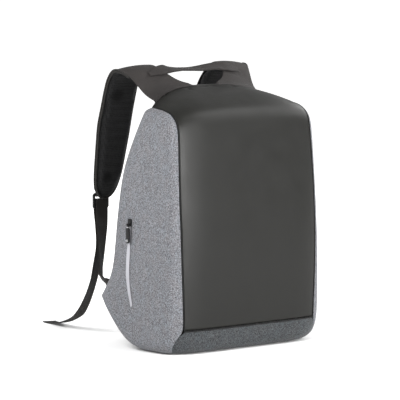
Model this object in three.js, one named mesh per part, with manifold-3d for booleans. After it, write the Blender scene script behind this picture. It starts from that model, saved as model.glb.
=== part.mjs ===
// Anti theft backpack, empty and standing on its base. Millimetres, +Z up, the front faces -Y.
// The shell is five sewn panels that meet at shared seam points, so each wall follows its neighbours.
import * as THREE from 'three';
import { mergeVertices } from 'three/addons/utils/BufferGeometryUtils.js';
import Module from 'manifold-3d';

const wasm = await Module();
wasm.setup();

// Driving sizes of the bag
const FRONT_WIDTH = 300; // across the front panel, seam to seam, where it is widest
const BODY_HEIGHT = 440; // floor to the top of the rear edge
const BODY_DEPTH = 210; // the unit of all depths: about front seam to the kicked out rear edge
const BULGE_TOP = 11; // how far a side panel stands out past the front panel at the top
const BULGE_BASE = 22; // and near the floor
const EDGE_ROUND = 20; // how wide the rounded edge of a side panel is
const GAP = 0.3; // between pieces that are sewn or lie together

// Walls
const FRONT_WALL = 4;
const SIDE_WALL = 2;
const BASE_WALL = 2.5;
const BACK_WALL = 5;
const PIPING_RADIUS = 1.5;

// Yokes, straps and handle
const YOKE_INNER = 0.18; // share of the rear edge's half length where a yoke starts
const YOKE_OUTER = 0.9; // and where it ends
const STRAP_WIDTH = 74;
const STRAP_CROWN = 3;
const COVER_WALL = 2;
const PAD_THICKNESS = 9;
const PAD_START = [0.5, 0.6]; // shares of it where the pad starts on the back panel
const PAD_EDGE = 0.6; // share of it lost at the pad's edges
const HANDLE_WIDTH = 20;
const HANDLE_THICKNESS = 3;

// Webbing and its slider
const WEBBING_WIDTH = 25;
const WEBBING_THICKNESS = 1.5;
const LOCK_THICKNESS = 3.5;
const LOCK_BAR = 4;
const LOCK_SLOT = 7.5;
const LOCK_CORNER = 3;
const SLOT_CORNER = 0.8;
const LOCK_DROP = 5; // slider centre below the strap's end
const LOCK_BACK = 9; // slider centre behind the strap's end
const LOOP_WIDTH = 20;
const LOOP_RUN = 76; // how far the sewn loop runs up the strap's outside
const TAB_LENGTH = 25;
const TAB_WALL = 1.6;
const TAB_ROOT = 1.8; // between the seam and the tab
const TAB_WAY = [-0.08, 0.84, 0.53]; // direction from the seam to the tab's end
const TAB_ACROSS = [-0.63, -0.70, 0.33]; // and across that end, where the webbing is sewn on
const LOOP_TURN = { from: 200, to: 430, steps: 8 }; // degrees round the buckle's top bar
const WEBBING_TURN = { from: 180, to: 0, steps: 6 }; // and over its middle bar

// Side zip
const TAPE_WIDTH = 9;
const TAPE_WALL = 1;
const SLIDER_WIDTH = 8;
const SLIDER_LENGTH = 13;
const SLIDER_PLATE = 1.5;
const SLIDER_BELOW = 3; // how far the plate reaches below its pin
const SLIDER_ASIDE = 2; // in front of the tape's middle
const EAR_WALL = 1.3;
const PIN_RADIUS = 0.8;
const PIN_HEIGHT = 3.2; // hinge axis above the slider's plate
const EYE_WALL = 1.1;
const EYE_WIDTH = 3;
const PULL_LENGTH = 31;
const PULL_WIDTH = 8;
const PULL_THICKNESS = 2.2;
const PULL_CORNER = 2;
const PULL_NECK = 4;
const NECK_LAP = 0.5; // how far the neck runs into the eye and the plate

// Sections of the shell. Each row gives the side seam and the middle of the panel at that section:
// depth is a share of BODY_DEPTH, height of BODY_HEIGHT, half of half the FRONT_WIDTH. A high power
// keeps the panel straight across and turns it close to the seam.
const FRONT_ROWS = [
  { depth: 0.002, height: 0.093, half: 0.980, midDepth: -0.026, midHeight: 0.093, power: 6.0 },
  { depth: 0.000, height: 0.155, half: 0.988, midDepth: -0.030, midHeight: 0.155, power: 6.0 },
  { depth: -0.001, height: 0.222, half: 0.996, midDepth: -0.033, midHeight: 0.222, power: 6.0 },
  { depth: -0.002, height: 0.333, half: 1.010, midDepth: -0.036, midHeight: 0.333, power: 6.0 },
  { depth: 0.003, height: 0.422, half: 1.014, midDepth: -0.034, midHeight: 0.422, power: 6.0 },
  { depth: 0.010, height: 0.507, half: 1.017, midDepth: -0.027, midHeight: 0.507, power: 6.0 },
  { depth: 0.020, height: 0.589, half: 1.017, midDepth: -0.016, midHeight: 0.589, power: 6.0 },
  { depth: 0.029, height: 0.667, half: 1.012, midDepth: -0.005, midHeight: 0.669, power: 6.0 },
  { depth: 0.039, height: 0.744, half: 1.005, midDepth: 0.007, midHeight: 0.749, power: 6.0 },
  { depth: 0.051, height: 0.818, half: 0.995, midDepth: 0.022, midHeight: 0.833, power: 6.0 },
  { depth: 0.060, height: 0.858, half: 0.992, midDepth: 0.035, midHeight: 0.884, power: 5.5 },
  { depth: 0.088, height: 0.889, half: 0.992, midDepth: 0.068, midHeight: 0.917, power: 5.0 },
  { depth: 0.150, height: 0.912, half: 0.990, midDepth: 0.132, midHeight: 0.940, power: 4.6 },
  { depth: 0.230, height: 0.922, half: 0.985, midDepth: 0.220, midHeight: 0.960, power: 4.2 },
  { depth: 0.312, height: 0.926, half: 0.975, midDepth: 0.322, midHeight: 0.978, power: 3.8 },
  { depth: 0.380, height: 0.928, half: 0.948, midDepth: 0.440, midHeight: 0.991, power: 3.4 },
  { depth: 0.424, height: 0.927, half: 0.924, midDepth: 0.510, midHeight: 0.998, power: 3.2 },
  { depth: 0.452, height: 0.925, half: 0.903, midDepth: 0.550, midHeight: 1.000, power: 3.0 },
];
// The base strip turns round the lower corner, from the front seam down to the flat base.
const STRIP_ROWS = [
  { depth: 0.028, height: 0.073, half: 1.030, midDepth: -0.019, midHeight: 0.053, power: 8 },
  { depth: 0.058, height: 0.049, half: 1.060, midDepth: 0.003, midHeight: 0.022, power: 8 },
  { depth: 0.090, height: 0.024, half: 1.058, midDepth: 0.042, midHeight: 0.004, power: 8 },
  { depth: 0.125, height: 0.006, half: 1.010, midDepth: 0.093, midHeight: 0.000, power: 8 },
  { depth: 0.190, height: 0.000, half: 0.945, midDepth: 0.163, midHeight: 0.000, power: 8 },
];
const BASE_ROWS = [
  { depth: 0.280, height: 0.000, half: 0.922, midDepth: 0.280, midHeight: 0.000, power: 4 },
  { depth: 0.382, height: 0.000, half: 0.915, midDepth: 0.382, midHeight: 0.000, power: 4 },
  { depth: 0.485, height: 0.000, half: 0.915, midDepth: 0.485, midHeight: 0.000, power: 4 },
  { depth: 0.563, height: 0.010, half: 0.922, midDepth: 0.569, midHeight: 0.007, power: 4 },
  { depth: 0.640, height: 0.027, half: 0.935, midDepth: 0.648, midHeight: 0.022, power: 4 },
  { depth: 0.716, height: 0.056, half: 0.948, midDepth: 0.727, midHeight: 0.049, power: 4 },
  { depth: 0.806, height: 0.100, half: 0.961, midDepth: 0.826, midHeight: 0.092, power: 4 },
  { depth: 0.896, height: 0.146, half: 0.967, midDepth: 0.926, midHeight: 0.139, power: 4 },
  { depth: 0.972, height: 0.184, half: 0.967, midDepth: 1.008, midHeight: 0.182, power: 4 },
];
const BACK_ROWS = [
  { depth: 0.938, height: 0.211, half: 0.974, midDepth: 0.985, midHeight: 0.211, power: 4 },
  { depth: 0.878, height: 0.245, half: 0.980, midDepth: 0.938, midHeight: 0.243, power: 4 },
  { depth: 0.832, height: 0.281, half: 0.987, midDepth: 0.897, midHeight: 0.280, power: 4 },
  { depth: 0.800, height: 0.327, half: 0.993, midDepth: 0.867, midHeight: 0.327, power: 4 },
  { depth: 0.787, height: 0.378, half: 0.997, midDepth: 0.853, midHeight: 0.378, power: 4 },
  { depth: 0.769, height: 0.456, half: 1.000, midDepth: 0.835, midHeight: 0.456, power: 4 },
  { depth: 0.746, height: 0.544, half: 1.000, midDepth: 0.811, midHeight: 0.544, power: 4 },
  { depth: 0.715, height: 0.638, half: 0.997, midDepth: 0.783, midHeight: 0.638, power: 4 },
  { depth: 0.675, height: 0.704, half: 0.993, midDepth: 0.746, midHeight: 0.707, power: 4 },
  { depth: 0.600, height: 0.787, half: 0.974, midDepth: 0.676, midHeight: 0.791, power: 4 },
  { depth: 0.530, height: 0.852, half: 0.944, midDepth: 0.610, midHeight: 0.872, power: 3.5 },
  { depth: 0.480, height: 0.900, half: 0.920, midDepth: 0.572, midHeight: 0.950, power: 3.2 },
];

// Sections of a strap, from its yoke over the ridge and down: half is a share of half the
// FRONT_WIDTH, depth and height as above, width and rise (how much higher its inner edge is) are
// shares of STRAP_WIDTH, pad of PAD_THICKNESS.
const STRAP_ROWS = [
  { half: 0.575, depth: 0.592, height: 0.988, width: 1.060, rise: 0.27, pad: 0.65 },
  { half: 0.645, depth: 0.653, height: 1.020, width: 0.880, rise: 0.30, pad: 0.80 },
  { half: 0.690, depth: 0.718, height: 1.050, width: 0.880, rise: 0.18, pad: 0.90 },
  { half: 0.730, depth: 0.788, height: 1.068, width: 0.920, rise: 0.10, pad: 1.00 },
  { half: 0.735, depth: 0.870, height: 1.063, width: 0.950, rise: 0.05, pad: 1.00 },
  { half: 0.715, depth: 0.945, height: 1.026, width: 0.975, rise: 0.00, pad: 1.00 },
  { half: 0.700, depth: 0.995, height: 0.980, width: 0.985, rise: 0.00, pad: 1.00 },
  { half: 0.690, depth: 1.040, height: 0.920, width: 0.990, rise: 0.00, pad: 1.00 },
  { half: 0.690, depth: 1.084, height: 0.840, width: 1.010, rise: 0.00, pad: 1.00 },
  { half: 0.692, depth: 1.122, height: 0.744, width: 0.935, rise: 0.00, pad: 1.00 },
  { half: 0.690, depth: 1.155, height: 0.667, width: 0.870, rise: 0.00, pad: 1.00 },
  { half: 0.690, depth: 1.180, height: 0.613, width: 0.765, rise: 0.00, pad: 0.95 },
  { half: 0.688, depth: 1.194, height: 0.582, width: 0.620, rise: 0.00, pad: 0.85 },
  { half: 0.687, depth: 1.203, height: 0.561, width: 0.430, rise: 0.00, pad: 0.70 },
  { half: 0.687, depth: 1.207, height: 0.550, width: 0.190, rise: 0.00, pad: 0.50 },
];

// Free span of the handle between the yokes: across is a share of the distance between their inner
// edges, lift of HANDLE_WIDTH, above the height where the handle leaves the yokes, and tilt is how
// much of the yokes' slope it keeps.
const HANDLE_SPAN = [
  { across: 0.03, lift: 0.00, tilt: 1.00 },
  { across: 0.12, lift: -0.03, tilt: 0.50 },
  { across: 0.25, lift: -0.06, tilt: 0.20 },
  { across: 0.45, lift: -0.10, tilt: 0.25 },
  { across: 0.60, lift: -0.08, tilt: 0.45 },
  { across: 0.75, lift: 0.00, tilt: 0.60 },
  { across: 0.88, lift: 0.04, tilt: 0.75 },
  { across: 0.97, lift: 0.00, tilt: 1.00 },
];

// Free end of the webbing: depth as above, height of BODY_HEIGHT, stray, how far it drifts to one
// side, a share of half the FRONT_WIDTH, and turn, how far it turns about the vertical, in degrees.
// The last rows lie on the floor.
const TAIL_ROWS = [
  { stray: 0.000, depth: 1.262, height: 0.430, turn: 0 },
  { stray: -0.007, depth: 1.262, height: 0.360, turn: 10 },
  { stray: -0.030, depth: 1.285, height: 0.295, turn: 18 },
  { stray: -0.020, depth: 1.328, height: 0.236, turn: 22 },
  { stray: 0.007, depth: 1.398, height: 0.183, turn: 22 },
  { stray: 0.057, depth: 1.490, height: 0.138, turn: 20 },
  { stray: 0.130, depth: 1.604, height: 0.097, turn: 16 },
  { stray: 0.207, depth: 1.743, height: 0.057, turn: 8 },
  { stray: 0.290, depth: 1.950, height: 0.024, turn: -4 },
  { stray: 0.390, depth: 2.150, height: 0.005, turn: -14 },
  { stray: 0.430, depth: 2.270, height: 0.000, turn: -18 },
  { stray: 0.470, depth: 2.340, height: 0.000, turn: -18 },
];

// Reflective tape down the side panel, with the same shares.
const TAPE_ROWS = [
  { depth: 0.546, height: 0.512 },
  { depth: 0.546, height: 0.460 },
  { depth: 0.548, height: 0.410 },
  { depth: 0.557, height: 0.350 },
  { depth: 0.561, height: 0.310 },
  { depth: 0.556, height: 0.270 },
  { depth: 0.536, height: 0.222 },
  { depth: 0.504, height: 0.172 },
];

const X = new THREE.Vector3(1, 0, 0);
const Y = new THREE.Vector3(0, 1, 0);
const Z = new THREE.Vector3(0, 0, 1);
const lerp = THREE.MathUtils.lerp;
const halfWidth = (share) => share * FRONT_WIDTH / 2;

// One section of the shell in millimetres: its seam on the left and its middle.
function section(row) {
  return {
    seam: new THREE.Vector3(-halfWidth(row.half), row.depth * BODY_DEPTH, row.height * BODY_HEIGHT),
    mid: new THREE.Vector3(0, row.midDepth * BODY_DEPTH, row.midHeight * BODY_HEIGHT),
    power: row.power,
  };
}

const frontSections = FRONT_ROWS.map(section);
const stripSections = STRIP_ROWS.map(section);
const baseSections = BASE_ROWS.map(section);
const rearEdge = frontSections[frontSections.length - 1];
const frontSeam = frontSections[0];
const tipSeam = baseSections[baseSections.length - 1];
const backSections = [...BACK_ROWS.map(section), rearEdge];

// Across a strap, from edge to edge, and across the panel's edge outside its yoke.
const STRAP_SHARES = [-1, -2 / 3, -1 / 3, 0, 1 / 3, 2 / 3, 1];
const EDGE_SHARES = [0.45, 0.75, 1];

// Columns across a panel, as shares of its half width: in front of the yoke, under it and past it.
function columnShares() {
  const right = [0, YOKE_INNER / 2];
  for (const share of STRAP_SHARES) right.push(lerp(YOKE_INNER, YOKE_OUTER, (share + 1) / 2));
  for (const share of EDGE_SHARES) right.push(lerp(YOKE_OUTER, 1, share));
  return [...right.slice(1).reverse().map((share) => -share), ...right];
}
const COLUMNS = columnShares();

// A panel's point at a section, from the left seam (-1) to the right one (1).
function bandPoint(cut, share) {
  const inward = 1 - Math.abs(share) ** cut.power;
  return new THREE.Vector3(
    -cut.seam.x * share,
    lerp(cut.seam.y, cut.mid.y, inward),
    lerp(cut.seam.z, cut.mid.z, inward),
  );
}
const bandGrid = (cuts) => cuts.map((cut) => COLUMNS.map((share) => bandPoint(cut, share)));

// The side panel hangs between two runs of seam points: up the strip, front and top, and along the
// base and up the back. It stands out past the seams with a rounded edge.
const frontRun = [...stripSections].reverse().concat(frontSections).map((cut) => cut.seam);
const backRun = [stripSections[stripSections.length - 1], ...baseSections, ...backSections]
  .map((cut) => cut.seam);
const sideOutline = [...frontRun, ...[...backRun].reverse()];

function distanceToOutline(point) {
  const flat = new THREE.Vector3(0, point.y, point.z);
  const segment = new THREE.Line3();
  const nearest = new THREE.Vector3();
  let least = Infinity;
  for (let i = 0; i < sideOutline.length - 1; i += 1) {
    segment.start.set(0, sideOutline[i].y, sideOutline[i].z);
    segment.end.set(0, sideOutline[i + 1].y, sideOutline[i + 1].z);
    segment.closestPointToPoint(flat, true, nearest);
    least = Math.min(least, nearest.distanceTo(flat));
  }
  return least;
}

function sidePoint(front, back, share) {
  const point = front.clone().lerp(back, share);
  const inside = Math.min(distanceToOutline(point) / EDGE_ROUND, 1);
  const bulge = lerp(BULGE_BASE, BULGE_TOP, Math.min(point.z / BODY_HEIGHT, 1));
  point.x = lerp(point.x, -FRONT_WIDTH / 2 - bulge, Math.sqrt(1 - (1 - inside) ** 2));
  return point;
}

// Columns from back to front, close together where the edge rounds over.
function sideRow(front, back) {
  const length = front.distanceTo(back);
  const rim = Math.min(EDGE_ROUND, length / 3);
  const shares = [0, 0.12, 0.35, 0.65, 1].map((share) => share * rim / Math.max(length, 1));
  const inner = [0.25, 0.5, 0.75].map((share) => lerp(shares[4], 1 - shares[4], share));
  const all = [...shares, ...inner, ...shares.map((share) => 1 - share).reverse()];
  return all.reverse().map((share) => sidePoint(front, back, share));
}

const frontGrid = bandGrid(frontSections);
const baseGrid = bandGrid([...[...baseSections].reverse(), ...[...stripSections].reverse(), frontSeam]);
const backGrid = bandGrid([...[...backSections].reverse(), tipSeam]);
const sideGrid = frontRun.map((front, i) => sideRow(front, backRun[i]));
const mirrored = (point) => new THREE.Vector3(-point.x, point.y, point.z);
const farSideGrid = sideGrid.map((row) => [...row].reverse().map(mirrored));

// Outward directions of the shell, shared by all panels that meet at a point.
const key = (point) => point.toArray().map((value) => Math.round(value * 100) + 0).join(' ');

function addNormals(grid, totals) {
  for (let r = 0; r < grid.length - 1; r += 1) {
    for (let c = 0; c < grid[r].length - 1; c += 1) {
      const corners = [grid[r][c], grid[r][c + 1], grid[r + 1][c + 1], grid[r + 1][c]];
      const across = corners[2].clone().sub(corners[0]);
      const normal = across.cross(corners[3].clone().sub(corners[1]));
      for (const corner of corners) {
        const name = key(corner);
        if (!totals.has(name)) totals.set(name, new THREE.Vector3());
        totals.get(name).add(normal);
      }
    }
  }
}

function normalsOf(grids) {
  const totals = new Map();
  for (const grid of grids) addNormals(grid, totals);
  return (point) => totals.get(key(point)).clone().normalize();
}
const outward = normalsOf([frontGrid, baseGrid, backGrid, sideGrid, farSideGrid]);

// A closed solid between two grids of the same size. Points that coincide are joined, so a row may
// shrink to a point, and the open border of the grid becomes the rim.
function solidBetween(outer, inner) {
  const points = [];
  const known = new Map();
  const indexOf = (point, twin) => {
    const name = key(point);
    if (!known.has(name)) {
      known.set(name, points.length / 2);
      points.push(point, twin);
    }
    return known.get(name);
  };
  const ids = outer.map((row, r) => row.map((point, c) => indexOf(point, inner[r][c])));
  const faces = [];
  for (let r = 0; r < ids.length - 1; r += 1) {
    for (let c = 0; c < ids[r].length - 1; c += 1) {
      const [a, b, d, e] = [ids[r][c], ids[r][c + 1], ids[r + 1][c + 1], ids[r + 1][c]];
      for (const face of [[a, b, d], [a, d, e]]) {
        if (new Set(face).size === 3) faces.push(face);
      }
    }
  }
  const edges = new Set(faces.flatMap(([a, b, c]) => [`${a} ${b}`, `${b} ${c}`, `${c} ${a}`]));
  const triangles = [];
  for (const [a, b, c] of faces) {
    triangles.push(2 * a, 2 * b, 2 * c, 2 * a + 1, 2 * c + 1, 2 * b + 1);
  }
  for (const edge of edges) {
    const [a, b] = edge.split(' ').map(Number);
    if (edges.has(`${b} ${a}`)) continue;
    triangles.push(2 * b, 2 * a, 2 * a + 1, 2 * b, 2 * a + 1, 2 * b + 1);
  }
  return facesOut(points, triangles);
}

// A geometry from points and triangles, turned so that its faces point out.
function facesOut(points, triangles) {
  let volume = 0;
  for (let i = 0; i < triangles.length; i += 3) {
    const [a, b, c] = [0, 1, 2].map((k) => points[triangles[i + k]]);
    volume += a.dot(b.clone().cross(c));
  }
  if (volume < 0) triangles.reverse();
  const geometry = new THREE.BufferGeometry().setFromPoints(points);
  geometry.setIndex(triangles);
  geometry.computeVertexNormals();
  return geometry;
}

// Pulls the borders of a grid in, to leave room at the seams.
function towards(point, target, distance) {
  const way = target.clone().sub(point);
  return way.length() < 1 ? point : point.clone().addScaledVector(way.normalize(), distance);
}

function insetRows(grid, first, last) {
  const rows = grid.map((row) => [...row]);
  const middle = (row) => row[Math.floor(row.length / 2)];
  const move = (row, next, distance) => {
    const shrunk = row[0].distanceTo(row[row.length - 1]) < 1;
    return row.map((point, c) => towards(point, shrunk ? middle(next) : next[c], distance));
  };
  rows[0] = move(grid[0], grid[1], first);
  rows[rows.length - 1] = move(grid[grid.length - 1], grid[grid.length - 2], last);
  return rows;
}

function insetColumns(grid, firstOf, lastOf) {
  return grid.map((row, r) => {
    const end = row.length - 1;
    const moved = [...row];
    moved[0] = towards(row[0], row[1], firstOf(r));
    moved[end] = towards(row[end], row[end - 1], lastOf(r));
    return moved;
  });
}

// A panel of the shell: the grid pulled in at its borders, and a wall on its inside.
function panel(grid, wall, pulled) {
  const inner = pulled.map((row, r) => row.map((point, c) => (
    point.clone().addScaledVector(outward(grid[r][c]), -wall)
  )));
  return solidBetween(pulled, inner);
}

const SEWN = GAP / 2;
const PIPED = PIPING_RADIUS + GAP;

function frontPanel() {
  const columns = insetColumns(frontGrid, () => PIPED, () => PIPED);
  return panel(frontGrid, FRONT_WALL, insetRows(columns, PIPED, SEWN));
}

function basePanel() {
  const corner = baseGrid.length - 1;
  const side = (r) => (r === corner ? PIPED * 2 + GAP : SEWN);
  const columns = insetColumns(baseGrid, side, side);
  return panel(baseGrid, BASE_WALL, insetRows(columns, SEWN, PIPED + SEWN));
}

function backPanel() {
  const columns = insetColumns(backGrid, () => GAP, () => GAP);
  return panel(backGrid, BACK_WALL, insetRows(columns, SEWN, SEWN));
}

function sidePanel() {
  const strip = STRIP_ROWS.length;
  const columns = insetColumns(sideGrid, () => SEWN, (r) => (r < strip ? SEWN : PIPED));
  return panel(sideGrid, SIDE_WALL, insetRows(columns, SEWN, SEWN));
}

// A round bar along points, with mitred bends.
function tube(points, radius, sides) {
  const ways = points.slice(1).map((point, i) => point.clone().sub(points[i]).normalize());
  const across = new THREE.Vector3().crossVectors(ways[0], X).normalize();
  const up = new THREE.Vector3().crossVectors(ways[0], across);
  let ring = [];
  for (let k = 0; k < sides; k += 1) {
    const turn = 2 * Math.PI * (k + 0.5) / sides;
    ring.push(points[0].clone().addScaledVector(across, radius * Math.cos(turn))
      .addScaledVector(up, radius * Math.sin(turn)));
  }
  const rings = [ring];
  for (let i = 1; i < points.length; i += 1) {
    const way = ways[i - 1];
    const plane = way.clone().add(ways[Math.min(i, ways.length - 1)]).normalize();
    ring = ring.map((point) => {
      const run = points[i].clone().sub(point).dot(plane) / way.dot(plane);
      return point.clone().addScaledVector(way, run);
    });
    rings.push(ring);
  }
  return loft(rings);
}

// A closed solid through rings of points, with flat ends.
function loft(rings) {
  const sides = rings[0].length;
  const triangles = [];
  for (let i = 0; i < rings.length - 1; i += 1) {
    for (let k = 0; k < sides; k += 1) {
      const a = i * sides + k;
      const b = i * sides + (k + 1) % sides;
      triangles.push(a, b, b + sides, a, b + sides, a + sides);
    }
  }
  const last = (rings.length - 1) * sides;
  for (let k = 1; k < sides - 1; k += 1) {
    triangles.push(0, k + 1, k, last, last + k, last + k + 1);
  }
  return facesOut(rings.flat(), triangles);
}

// Piping down the left seam, along the lower edge and up the right seam.
function piping() {
  const left = frontSections.slice(0, -1).map((cut) => cut.seam).reverse();
  const bottom = frontGrid[0].slice(1, -1);
  const right = [...left].reverse().map(mirrored);
  return tube([...left, ...bottom, ...right], PIPING_RADIUS, 6);
}

// Straps. A strap's middle surface lies between its cover and its pad, in seven columns.
const YOKE_COLUMNS = STRAP_SHARES.map((share, i) => COLUMNS.indexOf(-YOKE_OUTER) + i);

function strapRow(row) {
  const centre = new THREE.Vector3(
    -halfWidth(row.half),
    row.depth * BODY_DEPTH,
    row.height * BODY_HEIGHT,
  );
  const across = new THREE.Vector3(1, 0, row.rise).normalize();
  return STRAP_SHARES.map((share) => (
    centre.clone().addScaledVector(across, share * row.width * STRAP_WIDTH / 2)
  ));
}
const strapFlat = STRAP_ROWS.map(strapRow);
const strapOutward = normalsOf([[yokeRow(frontGrid, frontGrid.length - 1), ...strapFlat]]);
const crownAt = (i) => STRAP_CROWN * (1 - STRAP_SHARES[i] ** 2);
const strapMiddle = strapFlat.map((row) => row.map((point, i) => (
  point.clone().addScaledVector(strapOutward(point), crownAt(i))
)));

function yokeRow(grid, r) {
  return YOKE_COLUMNS.map((column) => grid[r][column]);
}

// A row of a panel's points, lifted off it.
function lapRow(grid, r) {
  return yokeRow(grid, r).map((point) => point.clone().addScaledVector(outward(point), GAP));
}

function offsetRows(rows, distance) {
  return rows.map((row, r) => row.map((point, i) => (
    point.clone().addScaledVector(strapOutward(strapFlat[r][i]), distance(r, i))
  )));
}

// The cover laps over the top panel's rear edge and runs down the outside of the strap.
const rear = frontGrid.length - 1;
const coverUnder = [
  lapRow(frontGrid, rear - 1),
  lapRow(frontGrid, rear),
  ...offsetRows(strapMiddle, () => GAP / 2),
];
const coverWay = normalsOf([coverUnder]);
const coverTop = coverUnder.map((row) => row.map((point) => (
  point.clone().addScaledVector(coverWay(point), COVER_WALL)
)));

// The pad starts on the back panel, behind the rear edge, and lies under the cover.
function strapPad() {
  const behind = lapRow(backGrid, 0).map((point) => (
    point.add(new THREE.Vector3(0, 2 * GAP, 0))
  ));
  const under = [
    lapRow(backGrid, 1),
    behind,
    ...offsetRows(strapMiddle, () => -GAP / 2),
  ];
  const way = normalsOf([under]);
  const fill = [...PAD_START, ...STRAP_ROWS.map((row) => row.pad)];
  const face = under.map((row, r) => row.map((point, i) => {
    const edge = STRAP_SHARES[i] ** 4;
    return point.clone().addScaledVector(way(point), -PAD_THICKNESS * fill[r] * (1 - PAD_EDGE * edge));
  }));
  return solidBetween(under, face);
}
const strapCover = () => solidBetween(coverTop, coverUnder);

// Directions across a band and off its face, at each point of its path, from its width's wanted
// direction there.
function frames(path, across) {
  return path.map((point, i) => {
    const before = path[Math.max(i - 1, 0)];
    const after = path[Math.min(i + 1, path.length - 1)];
    const way = after.clone().sub(before).normalize();
    const side = across[i].clone().addScaledVector(way, -across[i].dot(way)).normalize();
    return { side, face: new THREE.Vector3().crossVectors(way, side) };
  });
}

// A flat band along a path.
function ribbon(path, turned, width, thickness) {
  const rings = path.map((point, i) => {
    const corner = (a, b) => point.clone().addScaledVector(turned[i].side, a * width / 2)
      .addScaledVector(turned[i].face, b * thickness / 2);
    return [corner(-1, -1), corner(1, -1), corner(1, 1), corner(-1, 1)];
  });
  return loft(rings);
}

// The handle lies on both yokes, between the strap's second and third sections, and spans the dip.
const handleRow = coverTop.length - STRAP_ROWS.length + 1;

function grabHandle() {
  const lift = 4 * GAP + HANDLE_THICKNESS / 2;
  const lifted = (row, i) => (
    coverTop[row][i].clone().addScaledVector(coverWay(coverUnder[row][i]), lift)
  );
  const seat = [3, 4, 5, 6].map((i) => lifted(handleRow, i).lerp(lifted(handleRow + 1, i), 0.5));
  const slope = coverTop[handleRow + 1][4].clone().sub(coverTop[handleRow][4]);
  slope.setX(0).normalize();
  const left = seat[3];
  const right = mirrored(left);
  const span = HANDLE_SPAN.map((row) => {
    const point = left.clone().lerp(right, row.across);
    point.z += row.lift * HANDLE_WIDTH;
    return point;
  });
  const path = [...seat, ...span, ...[...seat].reverse().map(mirrored)];
  const tilts = [...seat.map(() => 1), ...HANDLE_SPAN.map((row) => row.tilt), ...seat.map(() => 1)];
  const across = tilts.map((tilt) => Y.clone().lerp(slope, tilt).normalize());
  return ribbon(path, frames(path, across), HANDLE_WIDTH, HANDLE_THICKNESS);
}

// Slider buckle: three bars and two slots, upright behind the strap's end.
const strapEnd = strapMiddle[strapMiddle.length - 1][3];
const lockAt = new THREE.Vector3(strapEnd.x, strapEnd.y + LOCK_BACK, strapEnd.z - LOCK_DROP);
const LOCK_HEIGHT = 3 * LOCK_BAR + 2 * LOCK_SLOT;
const SLOT_WIDTH = WEBBING_WIDTH + 4 * GAP;
const LOCK_WIDTH = SLOT_WIDTH + 2 * LOCK_BAR;
const TURN_RADIUS = Math.hypot(LOCK_BAR, LOCK_THICKNESS) / 2 + GAP + WEBBING_THICKNESS / 2;

function rectangle(shape, width, low, high, cut) {
  shape.moveTo(-width / 2 + cut, low);
  shape.lineTo(width / 2 - cut, low);
  shape.lineTo(width / 2, low + cut);
  shape.lineTo(width / 2, high - cut);
  shape.lineTo(width / 2 - cut, high);
  shape.lineTo(-width / 2 + cut, high);
  shape.lineTo(-width / 2, high - cut);
  shape.lineTo(-width / 2, low + cut);
  shape.closePath();
  return shape;
}

function ladderLock() {
  const top = LOCK_HEIGHT / 2;
  const outline = rectangle(new THREE.Shape(), LOCK_WIDTH, -top, top, LOCK_CORNER);
  const edge = LOCK_BAR / 2;
  for (const low of [edge, -edge - LOCK_SLOT]) {
    outline.holes.push(rectangle(new THREE.Path(), SLOT_WIDTH, low, low + LOCK_SLOT, SLOT_CORNER));
  }
  const plate = new THREE.ExtrudeGeometry(outline, { depth: LOCK_THICKNESS, bevelEnabled: false });
  plate.translate(0, 0, -LOCK_THICKNESS / 2);
  plate.rotateX(Math.PI / 2);
  return plate;
}

// A turn of webbing under or over a bar, in the plane across it.
function turn(centre, arc) {
  const points = [];
  for (let i = 0; i <= arc.steps; i += 1) {
    const angle = THREE.MathUtils.degToRad(lerp(arc.from, arc.to, i / arc.steps));
    points.push(centre.clone().addScaledVector(Y, TURN_RADIUS * Math.cos(angle))
      .addScaledVector(Z, TURN_RADIUS * Math.sin(angle)));
  }
  return points;
}

// The loop is sewn to the strap's cover, passes under the top bar and comes back up.
function strapLoop() {
  const bar = lockAt.clone().addScaledVector(Z, LOCK_BAR + LOCK_SLOT);
  const lift = GAP + WEBBING_THICKNESS / 2;
  const high = strapEnd.z + LOOP_RUN;
  const first = handleRow + 2;
  const outside = coverTop.slice(first)
    .map((row, r) => row[3].clone().addScaledVector(coverWay(coverUnder[first + r][3]), lift))
    .filter((point) => point.z > bar.z + LOCK_BAR && point.z < high);
  const fold = turn(bar, LOOP_TURN);
  const back = outside.slice(1, -1).reverse().map((point) => (
    point.clone().add(new THREE.Vector3(0, WEBBING_THICKNESS + GAP, 0))
  ));
  const path = [...outside, ...fold, ...back];
  return ribbon(path, frames(path, path.map(() => X)), LOOP_WIDTH, WEBBING_THICKNESS);
}

// Tab in the rear side seam: its first half twists from the seam's direction into the webbing's.
const tabLow = backSections[0].seam;
const tabHigh = backSections[1].seam;
const tabEdge = tabHigh.clone().sub(tabLow).normalize();
const tabWay = new THREE.Vector3(...TAB_WAY).normalize();
const tabEnd = new THREE.Vector3(...TAB_ACROSS).normalize();
const tabPath = [0, 0.25, 0.5, 0.75, 1].map((share) => (
  tabLow.clone().lerp(tabHigh, 0.5).addScaledVector(tabWay, TAB_ROOT + share * TAB_LENGTH)
));
const tabFrames = frames(tabPath, tabPath.map((point, i) => (
  tabEdge.clone().lerp(tabEnd, Math.min(i / 2, 1))
)));

const webTab = () => ribbon(tabPath, tabFrames, WEBBING_WIDTH, TAB_WALL);

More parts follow.
